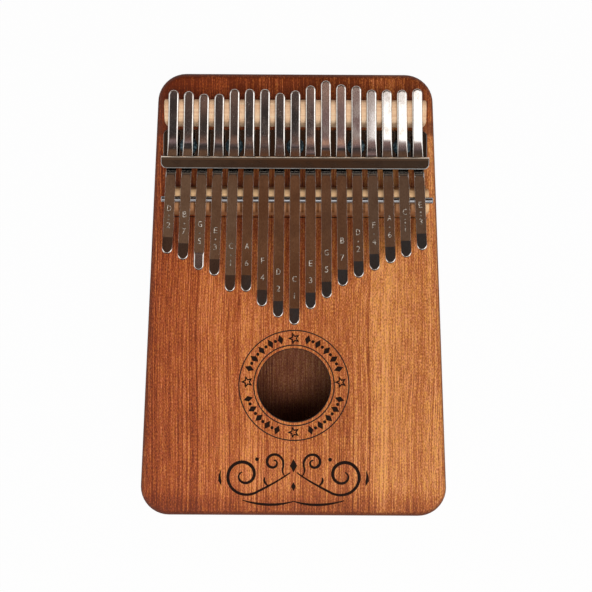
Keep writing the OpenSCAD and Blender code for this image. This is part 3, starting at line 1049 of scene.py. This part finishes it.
def tines(steel, stamped):
    """Draws every tine whole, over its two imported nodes, with its stamped marks."""
    characters = SCALE_NOTES + "".join(str(k + 1) for k in range(len(SCALE_NOTES)))
    glyphs = {character: glyph(character) for character in characters}
    for number in range(1, TINE_COUNT + 1):
        tine = Tine(number)
        piece = new_object(tine.mesh(), steel)
        tine.blend(piece)
        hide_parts(tine.name + "_shank", tine.name + "_tongue")
        marks = new_object(tine.marks(glyphs), stamped)
        tine.blend(marks)


def softbox(name, x_range, y_range, power):
    """A soft lamp that faces down and that metal doesn't mirror. Its ranges are in metres."""
    lamp = bpy.data.lights.new(name, "AREA")
    lamp.shape = "RECTANGLE"
    lamp.size = x_range[1] - x_range[0]
    lamp.size_y = y_range[1] - y_range[0]
    lamp.energy = power
    holder = bpy.data.objects.new(name, lamp)
    holder.location = (sum(x_range) / 2, sum(y_range) / 2, LAMP_H)
    holder.visible_camera = False
    holder.visible_glossy = False
    bpy.context.scene.collection.objects.link(holder)


def seen_share(graph, path):
    """1 for the rays that show a thing to the camera, straight or in metal or glass."""
    seen = graph.math("MAXIMUM", path["Is Camera Ray"], path["Is Glossy Ray"])
    return graph.math("MAXIMUM", seen, path["Is Transmission Ray"])


def white_panels(graph, x, y):
    """How white a direction is: a tall panel at each side, a slanted window and a strip low in front."""
    aside = graph.absolute(x)
    sides = graph.within((aside, 0.3, 0.42), (aside, 0.92, 0.78), (y, 0.36, 0.2), (y, -0.85, -0.65))
    slant = graph.math("MULTIPLY_ADD", x, -WINDOW_SLANT, y)
    window = graph.within((x, 0.064, 0.082), (x, 0.36, 0.3), (slant, -0.172, -0.212), (y, -0.5, -0.42))
    low_strip = graph.within((aside, 0.3, 0.24), (y, -0.3, -0.42), (y, -0.85, -0.7))
    return graph.math("MAXIMUM", graph.math("MAXIMUM", sides, window), low_strip)


def ceiling(graph, direction, x, y):
    """Colour of the dim ceiling: patches in front, then a warm band, a strip lamp and the far wall."""
    def noise(scale, detail=0.0):
        return graph.add("TexNoise", {"Vector": direction, "Scale": scale, "Detail": detail}).outputs[0]

    hue = noise(7.0)
    pale = graph.mix(graph.span(hue, 0.45, 0.6), CEILING_MAUVE, CEILING_BROWN)
    patchy = graph.within((noise(14.0, 1.0), 0.4, 0.65), (y, 0.1, -0.05))
    colour = graph.mix(patchy, CEILING_DARK, pale)
    colour = graph.mix(graph.within((hue, 0.45, 0.6), (y, 0.36, 0.42)), colour, CEILING_RUST)
    colour = graph.mix(graph.within((x, 0.0, 0.035), (y, 0.0, -0.1)), colour, CEILING_GLOW)
    peach = graph.within((x, -0.012, 0.012), (x, 0.064, 0.036), (y, -0.045, -0.1), (y, -0.165, -0.115))
    colour = graph.mix(peach, colour, CEILING_PEACH)
    warm = graph.mix(graph.span(noise(40.0), 0.35, 0.65), CEILING_WARM, CEILING_AMBER)
    warm = graph.mix(graph.span(x, -0.03, -0.09), warm, CEILING_LEFT)
    warm = graph.mix(graph.span(x, 0.03, 0.09), warm, CEILING_RIGHT)
    off_band = graph.absolute(graph.math("SUBTRACT", y, CEILING_WARM_Y))
    colour = graph.mix(graph.span(off_band, 0.19, 0.13), colour, warm)
    colour = graph.mix(graph.span(y, -0.25, -0.5), colour, CEILING_DARK)
    strip = graph.within((graph.absolute(x), 0.4, 0.3), (y, -0.22, -0.27), (y, -0.46, -0.38))
    colour = graph.mix(strip, colour, STRIP_LAMP)
    return graph.mix(graph.span(y, 0.5, 0.6), colour, FAR_WALL)


def studio_world():
    """White panels in a dim warm ceiling, over a white backdrop. Only shine gets the panels in full."""
    world = bpy.data.worlds.new("studio")
    bpy.context.scene.world = world
    graph = Graph(world)
    direction = graph.add("TexCoord").outputs["Generated"]
    x, y, z = graph.parts(direction)
    path = graph.add("LightPath").outputs
    spill = graph.span(path["Is Glossy Ray"], 0.0, 1.0, PANEL_SPILL, 1.0)
    panel = graph.math("MULTIPLY", white_panels(graph, x, y), spill)
    light = graph.mix(panel, ceiling(graph, direction, x, y), WHITE)
    level = graph.span(x, -0.3, 0.3, LEFT_PANEL, RIGHT_PANEL)
    strength = graph.math("MULTIPLY_ADD", panel, graph.math("SUBTRACT", level, 1.0), 1.0)
    backdrop = graph.math("MULTIPLY", seen_share(graph, path), graph.span(z, 0.3, 0.2))
    light = graph.mix(backdrop, light, WHITE)
    strength = graph.math("MULTIPLY_ADD", backdrop, graph.math("SUBTRACT", 1.0, strength), strength)
    background = graph.tree.nodes["Background"]
    graph.put(background, "Color", light)
    graph.put(background, "Strength", strength)


def floor():
    """A white floor that keeps a soft shadow."""
    graph = material_graph("floor")
    grain = graph.noise(graph.place(), (40, 40, 40), 1.0)
    graph.shade(Base_Color=graph.mix(grain, FLOOR_DARK, FLOOR_LIGHT), Roughness=0.9)
    glow = graph.add("Emission", {"Color": WHITE, "Strength": 1.0})
    share = graph.math("MULTIPLY", seen_share(graph, graph.add("LightPath").outputs), FLOOR_GLOW)
    matt = graph.tree.nodes["Principled BSDF"]
    blend = graph.add("MixShader", {0: share, 1: matt.outputs[0], 2: glow.outputs[0]})
    graph.put(graph.tree.nodes["Material Output"], "Surface", blend.outputs[0])
    mesh = bpy.data.meshes.new("floor")
    corners = [(x * FLOOR_HALF, y * FLOOR_HALF, 0) for x, y in ((-1, -1), (1, -1), (1, 1), (-1, 1))]
    mesh.from_pydata(corners, [], [(0, 1, 2, 3)])
    plane = new_object(mesh, graph.owner)
    plane.location.z = -FLOOR_DOWN * MM


def camera():
    """Looks straight down, as in the photograph."""
    lens = bpy.data.cameras.new("camera")
    lens.sensor_width = SENSOR
    lens.lens = SENSOR * FOCAL_PIXELS / PICTURE_W
    lens.clip_start = 0.01
    holder = bpy.data.objects.new("camera", lens)
    holder.location = Vector(CAMERA_AT) * MM
    holder.rotation_euler = (0.0, 0.0, CAMERA_ROLL)
    bpy.context.scene.collection.objects.link(holder)
    bpy.context.scene.camera = holder


bpy.context.scene.view_settings.view_transform = "Standard"
camera()
studio_world()
softbox("key", x_range=(0.13, 0.4), y_range=(-0.4, 0.02), power=0.65)
softbox("front", x_range=(-0.3, 0.5), y_range=(-0.6, -0.16), power=7.2)
floor()

shading = smoothing_group()
for name in ("soundboard", "side_frame", "back_plate", "bridge_rod", "bracket_screws"):
    soften(name, shading)
soften("rear_bridge", shading, BRIDGE_EDGE)
soften("front_bridge", shading, BRIDGE_EDGE)
soften("tine_bracket", shading, BRACKET_EDGE)

dress("soundboard", mahogany("mahogany_top", (0, 0, 0), rosette=True))
dress("side_frame", mahogany("mahogany_sides", (37, 120, 11), walls=True))
dress("back_plate", mahogany("mahogany_back", (-71, 260, 5), shade_inside=True))
pale = maple("maple")
dress("rear_bridge", pale)
dress("screw_block", pale)
dress("front_bridge", maple("maple_shaded", front_shade=True))
dress("tine_bracket", bracket_chrome())
dress("bridge_rod", rod_steel())
dress("bracket_screws", black_zinc())

tines(tine_steel(), stamped_metal())
char = burnt_wood()
rosette(char)
scroll(char)
bridge_line(char)
